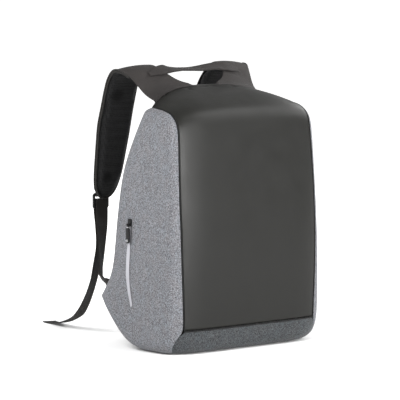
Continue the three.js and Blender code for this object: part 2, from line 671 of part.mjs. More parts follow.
// Webbing from the tab up to the buckle, over its middle bar and down to the floor. Its free end
// drifts towards the middle of the bag, or away from it where stray is below 0.
function webbing(stray) {
  const lift = TAB_WALL / 2 + GAP + WEBBING_THICKNESS / 2;
  const lapFrames = tabFrames.slice(2);
  const lap = lapFrames.map((turned, i) => tabPath[i + 2].clone().addScaledVector(turned.face, lift));
  const fold = turn(lockAt, WEBBING_TURN);
  const enter = fold[0].clone().addScaledVector(Z, -LOCK_HEIGHT);
  const climb = [0.2, 0.4, 0.6, 0.8, 1].map((share) => lap[2].clone().lerp(enter, share));
  const below = fold[fold.length - 1].clone().addScaledVector(Z, -LOCK_HEIGHT / 2 - LOCK_BAR);
  const tail = TAIL_ROWS.map((row) => new THREE.Vector3(
    lockAt.x + stray * halfWidth(row.stray),
    row.depth * BODY_DEPTH,
    row.height * BODY_HEIGHT + WEBBING_THICKNESS / 2,
  ));
  const path = [...lap, ...climb, ...fold, below, ...tail];
  const left = X.clone().negate();
  const across = path.map((point, i) => {
    const twist = Math.min(Math.max(i - 2, 0) / climb.length, 1);
    if (i < path.length - tail.length) return tabEnd.clone().lerp(left, twist);
    const row = TAIL_ROWS[i - path.length + tail.length];
    return left.clone().applyAxisAngle(Z, THREE.MathUtils.degToRad(stray * row.turn));
  });
  const turned = [...lapFrames, ...frames(path, across).slice(lap.length)];
  return ribbon(path, turned, WEBBING_WIDTH, WEBBING_THICKNESS);
}

// Where the side panel's facets lie at a depth and height.
function onSide(y, z) {
  for (let r = 0; r < sideGrid.length - 1; r += 1) {
    for (let c = 0; c < sideGrid[r].length - 1; c += 1) {
      const quad = [sideGrid[r][c], sideGrid[r][c + 1], sideGrid[r + 1][c + 1], sideGrid[r + 1][c]];
      for (const face of [[0, 1, 2], [0, 2, 3]]) {
        const [a, b, d] = face.map((k) => quad[k]);
        const area = (b.y - a.y) * (d.z - a.z) - (b.z - a.z) * (d.y - a.y);
        if (Math.abs(area) < 1e-6) continue;
        const u = ((y - a.y) * (d.z - a.z) - (z - a.z) * (d.y - a.y)) / area;
        const v = ((b.y - a.y) * (z - a.z) - (b.z - a.z) * (y - a.y)) / area;
        if (u >= -1e-9 && v >= -1e-9 && u + v <= 1 + 1e-9) {
          return new THREE.Vector3(a.x + u * (b.x - a.x) + v * (d.x - a.x), y, z);
        }
      }
    }
  }
  throw new Error('the point is off the side panel');
}

function tapePoint(row) {
  return new THREE.Vector3(0, row.depth * BODY_DEPTH, row.height * BODY_HEIGHT);
}

function sideTape() {
  const path = TAPE_ROWS.map(tapePoint);
  const rows = path.map((point, i) => {
    const before = path[Math.max(i - 1, 0)];
    const after = path[Math.min(i + 1, path.length - 1)];
    const side = new THREE.Vector3().crossVectors(after.clone().sub(before), X).normalize();
    return [-1, 0, 1].map((share) => {
      const at = point.clone().addScaledVector(side, share * TAPE_WIDTH / 2);
      return onSide(at.y, at.z);
    });
  });
  const lifted = (lift) => rows.map((row) => row.map((point) => (
    point.clone().addScaledVector(X, -lift)
  )));
  return solidBetween(lifted(1.5 * GAP + TAPE_WALL), lifted(1.5 * GAP));
}

// Pieces that touch are joined into one body.
function merged(geometry) {
  const bare = geometry.index ? geometry.toNonIndexed() : geometry.clone();
  bare.deleteAttribute('normal');
  bare.deleteAttribute('uv');
  const clean = mergeVertices(bare, 1e-4);
  return new wasm.Manifold(new wasm.Mesh({
    numProp: 3,
    vertProperties: clean.attributes.position.array,
    triVerts: new Uint32Array(clean.index.array),
  }));
}

function joined(geometries) {
  const mesh = geometries.map(merged).reduce((whole, piece) => whole.add(piece)).getMesh();
  const geometry = new THREE.BufferGeometry();
  geometry.setAttribute('position', new THREE.BufferAttribute(mesh.vertProperties, 3));
  geometry.setIndex(new THREE.BufferAttribute(mesh.triVerts, 1));
  geometry.computeVertexNormals();
  return geometry;
}

function box(width, depth, height, x, y, z) {
  return new THREE.BoxGeometry(width, depth, height).translate(x, y, z);
}

const EYE_RADIUS = PIN_RADIUS + GAP + EYE_WALL;
const EAR_INSIDE = EYE_WIDTH / 2 + GAP;

// The zip's slider sits on the tape. Its own frame has the hinge pin along Y and -X outward.
function zipSlider() {
  const plateX = PIN_HEIGHT + SLIDER_PLATE / 2;
  const plateZ = SLIDER_LENGTH / 2 - SLIDER_BELOW;
  const pieces = [box(SLIDER_PLATE, SLIDER_WIDTH, SLIDER_LENGTH, plateX, 0, plateZ)];
  const reach = PIN_HEIGHT + SLIDER_PLATE / 2 + PIN_RADIUS;
  for (const side of [-1, 1]) {
    const y = side * (EAR_INSIDE + EAR_WALL / 2);
    pieces.push(box(reach, EAR_WALL, 4 * PIN_RADIUS, reach / 2 - PIN_RADIUS, y, 0));
  }
  pieces.push(new THREE.CylinderGeometry(PIN_RADIUS, PIN_RADIUS, 2 * EAR_INSIDE + EAR_WALL, 10));
  return joined(pieces);
}

// The pull hangs from the pin by its eye.
function zipPull() {
  const outer = new THREE.Shape().absarc(0, 0, EYE_RADIUS, 0, 2 * Math.PI);
  outer.holes.push(new THREE.Path().absarc(0, 0, PIN_RADIUS + GAP, 0, 2 * Math.PI, true));
  const eye = { depth: EYE_WIDTH, bevelEnabled: false, curveSegments: 10 };
  const ring = new THREE.ExtrudeGeometry(outer, eye);
  ring.translate(0, 0, -EYE_WIDTH / 2).rotateX(Math.PI / 2);
  const stem = box(PULL_THICKNESS, EYE_WIDTH, PULL_NECK, 0, 0, NECK_LAP - EYE_RADIUS - PULL_NECK / 2);
  const top = 2 * NECK_LAP - EYE_RADIUS - PULL_NECK;
  const blade = rectangle(new THREE.Shape(), PULL_WIDTH, -PULL_LENGTH, top, PULL_CORNER);
  const plate = new THREE.ExtrudeGeometry(blade, { depth: PULL_THICKNESS, bevelEnabled: false });
  plate.translate(0, 0, -PULL_THICKNESS / 2).rotateX(Math.PI / 2).rotateZ(Math.PI / 2);
  return joined([ring, stem, plate]);
}

// Materials
const finish = (color, roughness, metalness = 0) => (
  new THREE.MeshStandardMaterial({ color, roughness, metalness })
);
const COATED = finish(0x45443f, 0.55);
const HEATHER = finish(0x8d8d94, 0.95);
const MESH = finish(0x1c1c1d, 0.95);
const TRIM = finish(0x121212, 0.8);
const STRAP = finish(0x4a4543, 0.75);
const BAND = finish(0x26231f, 0.85);
const PLASTIC = finish(0x141414, 0.45);
const TAPE = finish(0xcdcdd4, 0.4);
const METAL = finish(0x26262a, 0.35, 0.7);

const bag = new THREE.Group();
// The origin is in the middle of the flat base.
bag.position.y = -(stripSections[stripSections.length - 1].mid.y + baseSections[2].mid.y) / 2;

function add(name, geometry, material, place = new THREE.Vector3()) {
  const mesh = new THREE.Mesh(geometry, material);
  mesh.name = name;
  mesh.position.copy(place);
  bag.add(mesh);
}

// A piece of the left side and its mirror image on the right.
function addPair(name, geometry, material, place = new THREE.Vector3()) {
  add(`${name}_left`, geometry, material, place);
  add(`${name}_right`, geometry, material, mirrored(place));
  bag.children[bag.children.length - 1].scale.x = -1;
}

add('front_panel', frontPanel(), COATED);
add('base_panel', basePanel(), HEATHER);
add('back_panel', backPanel(), MESH);
addPair('side_panel', sidePanel(), HEATHER);
add('front_piping', piping(), TRIM);
addPair('strap_cover', strapCover(), STRAP);
addPair('strap_pad', strapPad(), MESH);
add('grab_handle', grabHandle(), STRAP);
addPair('ladder_lock', ladderLock(), PLASTIC, lockAt);
addPair('strap_loop', strapLoop(), BAND);
addPair('web_tab', webTab(), STRAP);
add('webbing_left', webbing(1), BAND);
add('webbing_right', webbing(-0.75), BAND);
bag.children[bag.children.length - 1].scale.x = -1;
addPair('reflective_tape', sideTape(), TAPE);

const tapeTop = tapePoint(TAPE_ROWS[0]);
const sliderAt = onSide(tapeTop.y - SLIDER_ASIDE, tapeTop.z - SLIDER_LENGTH);
sliderAt.x -= 2.5 * GAP + TAPE_WALL + SLIDER_PLATE + PIN_HEIGHT;
addPair('zip_slider', zipSlider(), METAL, sliderAt);
addPair('zip_pull', zipPull(), METAL, sliderAt);

export default bag;
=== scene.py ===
import math

import bmesh
import bpy
import numpy as np
from mathutils import Matrix, Vector, noise
from mathutils.bvhtree import BVHTree


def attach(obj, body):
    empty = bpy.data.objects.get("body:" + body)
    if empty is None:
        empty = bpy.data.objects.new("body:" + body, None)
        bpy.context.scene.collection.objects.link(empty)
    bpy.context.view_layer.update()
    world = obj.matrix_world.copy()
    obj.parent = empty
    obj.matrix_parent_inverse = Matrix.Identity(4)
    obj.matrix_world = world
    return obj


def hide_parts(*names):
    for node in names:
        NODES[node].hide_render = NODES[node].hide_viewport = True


# Anti theft backpack in metres: cloth, foam, webbing and small hardware over the CAD frame.
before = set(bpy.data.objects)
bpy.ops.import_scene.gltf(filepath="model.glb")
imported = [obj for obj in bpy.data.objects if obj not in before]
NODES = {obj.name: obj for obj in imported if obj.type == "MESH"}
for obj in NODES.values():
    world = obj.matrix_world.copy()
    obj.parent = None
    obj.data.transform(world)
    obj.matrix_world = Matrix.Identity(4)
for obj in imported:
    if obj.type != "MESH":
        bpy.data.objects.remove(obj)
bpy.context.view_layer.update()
MM = 0.001

# Camera, floor and light
TARGET = Vector((0.0, 0.0444, 0.1915))
AZIMUTH, ELEVATION, DISTANCE = math.radians(-42), math.radians(6), 5.874
FOCAL, SENSOR = 310.5, 36
IMAGE = 400
SHIFT = (-5 / IMAGE, 30 / IMAGE)
FLOOR_SIZE = 120
# Name, place in metres, size and power in watts.
LIGHTS = [
    ("key", (-2.6, -0.4, 2.1), (1.8, 1.8), 130),
    ("side", (3.0, 0.7, 1.3), (1.6, 1.6), 30),
    ("front", (0.6, -2.9, 0.6), (0.4, 1.6), 115),
    ("fold", (1.73, -1.0, 1.75), (1.6, 1.7), 36),
]
SKY = 0.5
# The floor's glow rises from the first strength to the second between these distances.
GLOW = {"From Min": 0.3, "From Max": 1.3, "To Min": 0.03, "To Max": 0.62}


def make_camera():
    data = bpy.data.cameras.new("camera")
    data.lens = FOCAL
    data.sensor_width = SENSOR
    data.shift_x, data.shift_y = SHIFT
    data.clip_end = 50
    camera = bpy.data.objects.new("camera", data)
    bpy.context.scene.collection.objects.link(camera)
    back = Vector((
        math.sin(AZIMUTH) * math.cos(ELEVATION),
        -math.cos(AZIMUTH) * math.cos(ELEVATION),
        math.sin(ELEVATION),
    ))
    camera.location = TARGET + back * DISTANCE
    camera.rotation_euler = back.to_track_quat("Z", "Y").to_euler()
    bpy.context.scene.camera = camera


def area_light(name, place, size, power):
    data = bpy.data.lights.new(name, "AREA")
    data.shape = "RECTANGLE"
    data.size, data.size_y = size
    data.energy = power
    light = bpy.data.objects.new(name, data)
    bpy.context.scene.collection.objects.link(light)
    light.location = place
    light.rotation_euler = (Vector(place) - TARGET).to_track_quat("Z", "Y").to_euler()


def make_studio():
    """A white sweep: soft lights near the bag, and a floor that glows only far from it."""
    bpy.ops.mesh.primitive_plane_add(size=FLOOR_SIZE)
    floor = bpy.context.object
    floor.name = "floor"
    material = bpy.data.materials.new("floor")
    material.use_nodes = True
    tree = material.node_tree
    shader = tree.nodes["Principled BSDF"]
    shader.inputs["Base Color"].default_value = (0.9, 0.9, 0.9, 1)
    shader.inputs["Roughness"].default_value = 0.9
    shader.inputs["Specular IOR Level"].default_value = 0.1
    shader.inputs["Emission Color"].default_value = (1, 1, 1, 1)
    place = tree.nodes.new("ShaderNodeTexCoord")
    away = tree.nodes.new("ShaderNodeVectorMath")
    away.operation = "LENGTH"
    glow = tree.nodes.new("ShaderNodeMapRange")
    for socket, value in GLOW.items():
        glow.inputs[socket].default_value = value
    tree.links.new(place.outputs["Object"], away.inputs[0])
    tree.links.new(away.outputs["Value"], glow.inputs["Value"])
    tree.links.new(glow.outputs["Result"], shader.inputs["Emission Strength"])
    floor.data.materials.append(material)
    world = bpy.data.worlds.new("studio")
    world.use_nodes = True
    world.node_tree.nodes["Background"].inputs["Color"].default_value = (1, 1, 1, 1)
    world.node_tree.nodes["Background"].inputs["Strength"].default_value = SKY
    bpy.context.scene.world = world
    for light in LIGHTS:
        area_light(*light)
    bpy.context.scene.view_settings.view_transform = "Standard"


make_camera()
make_studio()


# Materials
# Blender's band texture repeats each tenth of pi at a scale of 1.
WAVE_PERIOD = math.pi / 10
# Places of the colour sockets on Blender's mix node.
MIX_A, MIX_B, MIX_RESULT = 6, 7, 2


class Shader:
    """A material's node tree with short ways to add its nodes. Patterns are in metres of the CAD frame."""

    def __init__(self, name, color, roughness, **sockets):
        self.material = bpy.data.materials.new(name)
        self.material.use_nodes = True
        self.tree = self.material.node_tree
        self.principled = self.tree.nodes["Principled BSDF"]
        self.principled.inputs["Base Color"].default_value = (*color, 1)
        self.principled.inputs["Roughness"].default_value = roughness
        for socket, value in sockets.items():
            self.principled.inputs[socket.replace("_", " ")].default_value = value
        self.place = self.node("ShaderNodeTexCoord").outputs["Object"]
        self.diffuse = tuple(color)

    def node(self, kind, **settings):
        made = self.tree.nodes.new(kind)
        for key, value in settings.items():
            setattr(made, key, value)
        return made

    def feed(self, socket, value):
        if isinstance(value, bpy.types.NodeSocket):
            self.tree.links.new(value, socket)
        else:
            socket.default_value = value

    def scaled(self, scale):
        made = self.node("ShaderNodeMapping")
        self.feed(made.inputs["Vector"], self.place)
        made.inputs["Scale"].default_value = scale
        return made.outputs["Vector"]

    def noise(self, scale, detail=2.0, rough=0.5):
        made = self.node("ShaderNodeTexNoise")
        self.feed(made.inputs["Vector"], self.scaled(scale))
        made.inputs["Scale"].default_value = 1
        made.inputs["Detail"].default_value = detail
        made.inputs["Roughness"].default_value = rough
        return made.outputs["Fac"]

    def wave(self, axis, pitch, warp=0.0):
        """Ridges across one axis, a pitch apart."""
        made = self.node("ShaderNodeTexWave", wave_type="BANDS", bands_direction=axis)
        self.feed(made.inputs["Vector"], self.place)
        made.inputs["Scale"].default_value = WAVE_PERIOD / pitch
        made.inputs["Distortion"].default_value = warp
        made.inputs["Detail"].default_value = 1
        return made.outputs["Fac"]

    def cells(self, scale):
        """Distance from the middle of the nearest of many nearly even cells."""
        made = self.node("ShaderNodeTexVoronoi", feature="F1")
        self.feed(made.inputs["Vector"], self.scaled(scale))
        made.inputs["Scale"].default_value = 1
        made.inputs["Randomness"].default_value = 0.25
        return made.outputs["Distance"]

    def spot(self, centre, radius):
        """1 near a point given for the right half, or near its mirror image, fading to 0 at the radius."""
        mirror = self.node("ShaderNodeVectorMath", operation="ABSOLUTE")
        self.feed(mirror.inputs[0], self.place)
        away = self.node("ShaderNodeVectorMath", operation="DISTANCE")
        self.feed(away.inputs[0], mirror.outputs[0])
        away.inputs[1].default_value = centre
        return self.map(away.outputs["Value"], 0.45 * radius, radius, 1.0, 0.0)

    def math(self, operation, a, b, clamp=False):
        made = self.node("ShaderNodeMath", operation=operation, use_clamp=clamp)
        self.feed(made.inputs[0], a)
        self.feed(made.inputs[1], b)
        return made.outputs[0]

    def map(self, value, low, high, to_low=0.0, to_high=1.0):
        made = self.node("ShaderNodeMapRange")
        self.feed(made.inputs["Value"], value)
        for socket, number in zip(("From Min", "From Max", "To Min", "To Max"), (low, high, to_low, to_high)):
            made.inputs[socket].default_value = number
        return made.outputs["Result"]

    def mix(self, factor, a, b):
        made = self.node("ShaderNodeMix", data_type="RGBA")
        self.feed(made.inputs["Factor"], factor)
        for socket, color in ((made.inputs[MIX_A], a), (made.inputs[MIX_B], b)):
            self.feed(socket, color if isinstance(color, bpy.types.NodeSocket) else (*color, 1))
        return made.outputs[MIX_RESULT]

    def tinted(self, dark, light):
        return tuple(c * dark for c in self.diffuse), tuple(c * light for c in self.diffuse)

    def color(self, value):
        self.feed(self.principled.inputs["Base Color"], value)

    def rough(self, value):
        self.feed(self.principled.inputs["Roughness"], value)

    def bump(self, *layers):
        """Layers of (height, depth in metres), the first one lowest."""
        normal = None
        for height, depth in layers:
            made = self.node("ShaderNodeBump")
            made.inputs["Strength"].default_value = 1
            made.inputs["Distance"].default_value = depth
            self.feed(made.inputs["Height"], height)
            if normal:
                self.feed(made.inputs["Normal"], normal)
            normal = made.outputs["Normal"]
        self.feed(self.principled.inputs["Normal"], normal)


def coated_cloth():
    """Smooth coated cloth with a soft sheen and a fine grain."""
    s = Shader("coated", (0.0085, 0.0085, 0.0074), 0.4, Specular_IOR_Level=0.17)
    cloud = s.noise((5, 5, 4), 3, 0.55)
    grain = s.noise((900, 900, 900), 2)
    s.color(s.mix(s.map(cloud, 0.3, 0.7), *s.tinted(0.92, 1.08)))
    s.rough(s.map(s.noise((30, 30, 30), 4), 0.3, 0.7, 0.36, 0.44))
    s.bump((s.noise((14, 14, 9), 2), 0.6 * MM), (s.wave("X", 0.9 * MM), 0.02 * MM), (grain, 0.05 * MM))
    return s.material


def heather_cloth(name, color, contrast):
    """Two tone yarn: short light and dark flecks along the weft and the warp, with a faint blue cast."""
    s = Shader(name, color, 0.95, Specular_IOR_Level=0.2, Sheen_Weight=0.1)
    rows = s.noise((380, 380, 1200), 2, 0.6)
    columns = s.noise((1100, 1100, 340), 2, 0.6)
    flecks = s.math("MULTIPLY_ADD", rows, 0.5)
    s.feed(flecks.node.inputs[2], s.math("MULTIPLY", columns, 0.5))
    coarse = s.map(s.noise((560, 560, 560), 2, 0.7), 0.3, 0.7, -0.4, 0.4)
    both = s.math("ADD", s.map(flecks, 0.38, 0.62), coarse, clamp=True)
    dark, light = s.tinted(1 - contrast, 1 + contrast)
    bluish = tuple(np.array(light) * (0.95, 1.01, 1.04))
    cast = s.mix(s.map(s.noise((90, 90, 60), 2), 0.35, 0.65), light, bluish)
    s.color(s.mix(both, dark, cast))
    s.rough(s.map(flecks, 0.35, 0.65, 0.85, 1.0))
    s.bump((s.noise((12, 12, 12), 2), 0.8 * MM), (flecks, 0.45 * MM))
    return s.material


# Painted shade: dark spots on the pads, for the right half: middle and radius in metres.
PAINTED_SHADE_SPOTS = [((0.117, 0.137, 0.422), 0.017), ((0.112, 0.172, 0.281), 0.013)]


def spacer_mesh():
    """Black mesh with rows of small holes, with painted shade in two spots on each side."""
    s = Shader("mesh", (0.0085, 0.0085, 0.0088), 0.9, Specular_IOR_Level=0.2, Sheen_Weight=0.03)
    holes = s.cells((330, 330, 330))
    grid = s.mix(s.map(holes, 0.15, 0.55), *s.tinted(0.35, 1.6))
    # Painted shade: the pads' colour darkens near these spots.
    painted_shade = s.math("MAXIMUM", *(s.spot(middle, radius) for middle, radius in PAINTED_SHADE_SPOTS))
    s.color(s.mix(painted_shade, grid, tuple(c * 0.3 for c in s.diffuse)))
    s.rough(s.map(s.noise((40, 40, 40), 3), 0.3, 0.7, 0.8, 0.98))
    s.bump((s.noise((25, 25, 25), 2), 1.0 * MM), (holes, 0.8 * MM))
    return s.material


def plain_weave(name, color, roughness):
    """Crossed threads 0.8 mm apart."""
    pitch = 0.8 * MM
    s = Shader(name, color, roughness, Specular_IOR_Level=0.2, Sheen_Weight=0.02)
    threads = s.math("MULTIPLY", s.wave("X", pitch, 0.5), s.wave("Z", pitch, 0.5))
    cloud = s.noise((18, 18, 18), 4, 0.6)
    s.color(s.mix(s.map(cloud, 0.3, 0.7), *s.tinted(0.8, 1.2)))
    s.rough(s.map(cloud, 0.3, 0.7, roughness - 0.08, roughness + 0.06))
    fuzz = s.noise((700, 700, 700), 2)
    s.bump((s.noise((35, 35, 35), 2), 0.6 * MM), (threads, 0.12 * MM), (fuzz, 0.08 * MM))
    return s.material


def webbing_cloth():
    """Ribs run along the band: its own map gives the place across (U) and along it (V) in metres."""
    s = Shader("band", (0.011, 0.0095, 0.0085), 0.85, Specular_IOR_Level=0.2, Sheen_Weight=0.02)
    s.place = s.node("ShaderNodeUVMap", uv_map="band").outputs["UV"]
    ribs = s.wave("X", 2.1 * MM)
    weft = s.wave("Y", 1.1 * MM, 0.4)
    cloud = s.noise((60, 25, 1), 3)
    s.color(s.mix(s.map(s.math("ADD", cloud, ribs), 0.4, 1.5), *s.tinted(0.7, 1.35)))
    s.rough(s.map(cloud, 0.3, 0.7, 0.75, 0.92))
    s.bump((ribs, 0.25 * MM), (weft, 0.2 * MM))
    return s.material


def moulded(name, color, roughness, metallic=0.0):
    """Plastic, enamel or bare metal."""
    s = Shader(name, color, roughness, Metallic=metallic, Specular_IOR_Level=0.3)
    cloud = s.noise((120, 120, 120), 4)
    s.color(s.mix(s.map(cloud, 0.3, 0.7), *s.tinted(0.85, 1.15)))
    s.rough(s.map(cloud, 0.3, 0.7, roughness - 0.06, roughness + 0.08))
    s.bump((s.noise((1500, 1500, 1500), 2), 0.03 * MM))
    return s.material


def thread(name, color):
    s = Shader(name, color, 0.75, Sheen_Weight=0.1)
    s.color(s.mix(s.noise((400, 400, 400), 2), *s.tinted(0.8, 1.2)))
    s.bump((s.noise((2500, 2500, 2500), 1), 0.05 * MM))
    return s.material


def reflective():
    """Light grey tape with glass beads."""
    s = Shader("tape", (0.30, 0.30, 0.325), 0.45, Specular_IOR_Level=0.5)
    beads = s.noise((1200, 1200, 1200), 2)
    s.color(s.mix(s.map(s.noise((60, 60, 25), 3), 0.3, 0.7), *s.tinted(0.9, 1.1)))
    s.rough(s.map(beads, 0.3, 0.7, 0.32, 0.5))
    s.bump((s.noise((40, 40, 40), 2), 0.3 * MM), (beads, 0.05 * MM))
    return s.material


COATED = coated_cloth()
HEATHER = heather_cloth("heather", (0.121, 0.120, 0.128), 0.66)
# A darker copy of the side's heather for the base, which faces the front and down: painted shade.
HEATHER_SHADED = heather_cloth("heather_shaded", (0.037, 0.039, 0.041), 0.9)
MESH = spacer_mesh()
TRIM = plain_weave("trim", (0.006, 0.006, 0.006), 0.7)
BINDING = plain_weave("binding", (0.018, 0.017, 0.016), 0.75)
STRAP = plain_weave("strap", (0.017, 0.0148, 0.014), 0.75)
BAND = webbing_cloth()
PLASTIC = moulded("plastic", (0.008, 0.008, 0.008), 0.38)
ENAMEL = moulded("enamel", (0.003, 0.003, 0.0035), 0.5)
STEEL = moulded("steel", (0.55, 0.55, 0.56), 0.3, 1.0)
TAPE = reflective()
THREAD = thread("thread", (0.025, 0.024, 0.023))


# Mesh helpers
def piece(name, mesh, material, body="bag", nodes=()):
    """A visible piece on a body, with the CAD nodes that it stands for."""
    obj = bpy.data.objects.new(name, mesh)
    bpy.context.scene.collection.objects.link(obj)
    mesh.materials.clear()
    mesh.materials.append(material)
    for polygon in mesh.polygons:
        polygon.use_smooth = True
    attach(obj, body)
    if nodes:
        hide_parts(*nodes)
    return obj


def cage(node, crease=1.0, angle=50):
    """A CAD node's mesh as quads, with its sharp edges creased."""
    bm = bmesh.new()
    bm.from_mesh(NODES[node].data)
    bmesh.ops.remove_doubles(bm, verts=bm.verts, dist=1e-6)
    bmesh.ops.join_triangles(
        bm, faces=bm.faces, angle_face_threshold=0.9, angle_shape_threshold=3.1, topology_influence=2.0
    )
    layer = bm.edges.layers.float.new("crease_edge")
    for edge in bm.edges:
        if len(edge.link_faces) == 2 and edge.calc_face_angle() > math.radians(angle):
            edge[layer] = crease
    return bm


def settled(mesh, *modifiers):
    """The mesh with modifiers applied. Each one is (type, settings)."""
    obj = bpy.data.objects.new("working", mesh)
    bpy.context.scene.collection.objects.link(obj)
    for kind, settings in modifiers:
        modifier = obj.modifiers.new(kind, kind)
        for key, value in settings.items():
            setattr(modifier, key, value)
    made = bpy.data.meshes.new_from_object(obj.evaluated_get(bpy.context.evaluated_depsgraph_get()))
    bpy.data.objects.remove(obj)
    return made


def subdivided(bm, levels):
    mesh = bpy.data.meshes.new("shape")
    bm.to_mesh(mesh)
    bm.free()
    return settled(mesh, ("SUBSURF", {"levels": levels, "render_levels": levels}))


def points_of(mesh):
    flat = np.empty(len(mesh.vertices) * 3)
    mesh.vertices.foreach_get("co", flat)
    return flat.reshape(-1, 3)


def normals_of(mesh):
    flat = np.empty(len(mesh.vertices) * 3)
    mesh.vertex_normals.foreach_get("vector", flat)
    return flat.reshape(-1, 3)


def set_points(mesh, points):
    mesh.vertices.foreach_set("co", np.ascontiguousarray(points, dtype=np.float64).ravel())
    mesh.update()
    return mesh


def sculpted(mesh, height):
    """Moves each vertex along its normal by height(points, normals), in metres."""
    points, normals = points_of(mesh), normals_of(mesh)
    return set_points(mesh, points + normals * height(points, normals)[:, None])


def mirrored(mesh):
    twin = mesh.copy()
    twin.transform(Matrix.Scale(-1, 4, (1, 0, 0)))
    twin.flip_normals()
    return twin


def rumple(points, scale, seed):
    """Smooth noise from -1 to 1 at each point."""
    shift = Vector((seed, seed * 1.7, seed * 2.3))
    return np.array([noise.noise(Vector(p) * scale + shift) for p in points])


def dent(points, centre, radius):
    """A round bell, 1 at the centre, with a radius for each axis."""
    away = (points - np.array(centre)) / np.array(radius)
    return np.exp(-(away ** 2).sum(1))


def smooth(share):
    """From 0 to 1 with soft ends, for a number or an array."""
    share = np.clip(share, 0, 1)
    return share * share * (3 - 2 * share)


def distance_to(points, line):
    """How far each point is from a line of points."""
    least = np.full(len(points), np.inf)
    for a, b in zip(line, line[1:]):
        along = b - a
        share = np.clip(((points - a) @ along) / max(along @ along, 1e-12), 0, 1)
        least = np.minimum(least, np.linalg.norm(points - a - share[:, None] * along, axis=1))
    return least


def furrow(points, start, end, width):
    """1 along a line from start to end, which fades over width and towards both ends."""
    a, b = np.array(start), np.array(end)
    along = b - a
    share = ((points - a) @ along) / (along @ along)
    near = a + np.clip(share, 0, 1)[:, None] * along
    away = np.linalg.norm(points - near, axis=1) / width
    ends = np.clip(1.15 - np.abs(2 * share - 1), 0, 1)
    return np.exp(-away ** 2) * ends


def smooth_line(points, step):
    """Points a step apart along a smooth curve through the given ones."""
    points = [Vector(p) for p in points]
    ends = [2 * points[0] - points[1], *points, 2 * points[-1] - points[-2]]
    fine = []
    for i in range(len(points) - 1):
        a, b, c, d = ends[i:i + 4]
        for k in range(12):
            t = k / 12
            fine.append(0.5 * (2 * b + (c - a) * t + (2 * a - 5 * b + 4 * c - d) * t ** 2
                               + (3 * b - a - 3 * c + d) * t ** 3))
    fine.append(points[-1])
    lengths = np.concatenate([[0], np.cumsum([(q - p).length for p, q in zip(fine, fine[1:])])])
    count = max(2, int(round(lengths[-1] / step)) + 1)
    flat = np.array([tuple(p) for p in fine])
    wanted = np.linspace(0, lengths[-1], count)
    return np.stack([np.interp(wanted, lengths, flat[:, k]) for k in range(3)], 1)


def lofted(rings, uv=None):
    """A closed mesh through rings of points, an array of stations by points by three."""
    stations, sides = rings.shape[:2]
    faces = []
    for i in range(stations - 1):
        for k in range(sides):
            a, b = i * sides + k, i * sides + (k + 1) % sides
            faces.append((a, b, b + sides, a + sides))
    faces.append(tuple(range(sides))[::-1])
    faces.append(tuple((stations - 1) * sides + k for k in range(sides)))
    mesh = bpy.data.meshes.new("loft")
    mesh.from_pydata([tuple(p) for p in rings.reshape(-1, 3)], [], faces)
    if uv is not None:
        layer = mesh.uv_layers.new(name="band")
        for loop in mesh.loops:
            layer.data[loop.index].uv = uv[loop.vertex_index]
    bm = bmesh.new()
    bm.from_mesh(mesh)
    bmesh.ops.recalc_face_normals(bm, faces=bm.faces)
    bm.to_mesh(mesh)
    bm.free()
    return mesh


def frames_along(line):
    ways = np.gradient(line, axis=0)
    return ways / np.linalg.norm(ways, axis=1)[:, None]


def tube(line, radius, sides):
    """A round bar along a line of points."""
    ways = frames_along(line)
    side = np.cross(ways[0], (0.3, 0.2, 1.0))
    rings = []
    for point, way in zip(line, ways):
        side = side - (side @ way) * way
        side /= np.linalg.norm(side)
        up = np.cross(way, side)
        turns = [2 * math.pi * k / sides for k in range(sides)]
        rings.append([point + radius * (math.cos(t) * side + math.sin(t) * up) for t in turns])
    return lofted(np.array(rings))


def joined(meshes):
    bm = bmesh.new()
    for mesh in meshes:
        bm.from_mesh(mesh)
    whole = bpy.data.meshes.new("joined")
    bm.to_mesh(whole)
    bm.free()
    return whole


def stitch(start, end, lift, radius):
    """One stitch: a short thread that dips at both ends."""
    shares = np.linspace(0, 1, 6)
    line = np.array([start + (end - start) * s + lift * math.sin(math.pi * s) for s in shares])
    return tube(line, radius, 6)


def stitches(line, ups, pitch=3.2 * MM, radius=0.32 * MM):
    """A row of stitches along a line of points, with the direction off the cloth at each."""
    lengths = np.concatenate([[0], np.cumsum(np.linalg.norm(np.diff(line, axis=0), axis=1))])
    at = lambda values, s: np.array([np.interp(s, lengths, values[:, k]) for k in range(3)])
    made = []
    for i in range(int(lengths[-1] / pitch)):
        low, high = i * pitch, i * pitch + 0.72 * pitch
        up = at(ups, (low + high) / 2)
        made.append(stitch(at(line, low), at(line, high), up * 1.2 * radius, radius))
    return joined(made)


# Flat bands from their CAD rings
def rings_of(node):
    """The four corner points of each ring of a CAD band, from one end to the other."""
    bm = bmesh.new()
    bm.from_mesh(NODES[node].data)
    bmesh.ops.remove_doubles(bm, verts=bm.verts, dist=1e-6)
    near = {v: {e.other_vert(v) for e in v.link_edges} for v in bm.verts}
    # An end cap is two triangles whose corners have only the next ring's four beside them.
    for edge in bm.edges:
        quad = {v for face in edge.link_faces for v in face.verts}
        beyond = set().union(*(near[v] for v in quad)) - quad
        if len(beyond) == 4:
            break
    a, b = edge.verts
    c, d = quad - {a, b}
    ring, seen = [a, c, b, d], set(quad)
    rings = [ring]
    while beyond:
        # Each corner of the next ring touches two neighbouring corners of this one.
        choices = []
        for later in (True, False):
            following = {}
            for v in beyond:
                i, k = (ring.index(u) for u in near[v] & set(ring))
                low, high = (i, k) if (i + 1) % 4 == k else (k, i)
                following[high if later else low] = v
            turned = [following[i] for i in range(4)]
            choices.append((sum((v.co - u.co).length for v, u in zip(turned, ring)), turned))
        ring = min(choices, key=lambda choice: choice[0])[1]
        rings.append(ring)
        seen |= set(ring)
        beyond = set().union(*(near[v] for v in ring)) - seen
    found = np.array([[tuple(v.co) for v in r] for r in rings])
    bm.free()
    return found


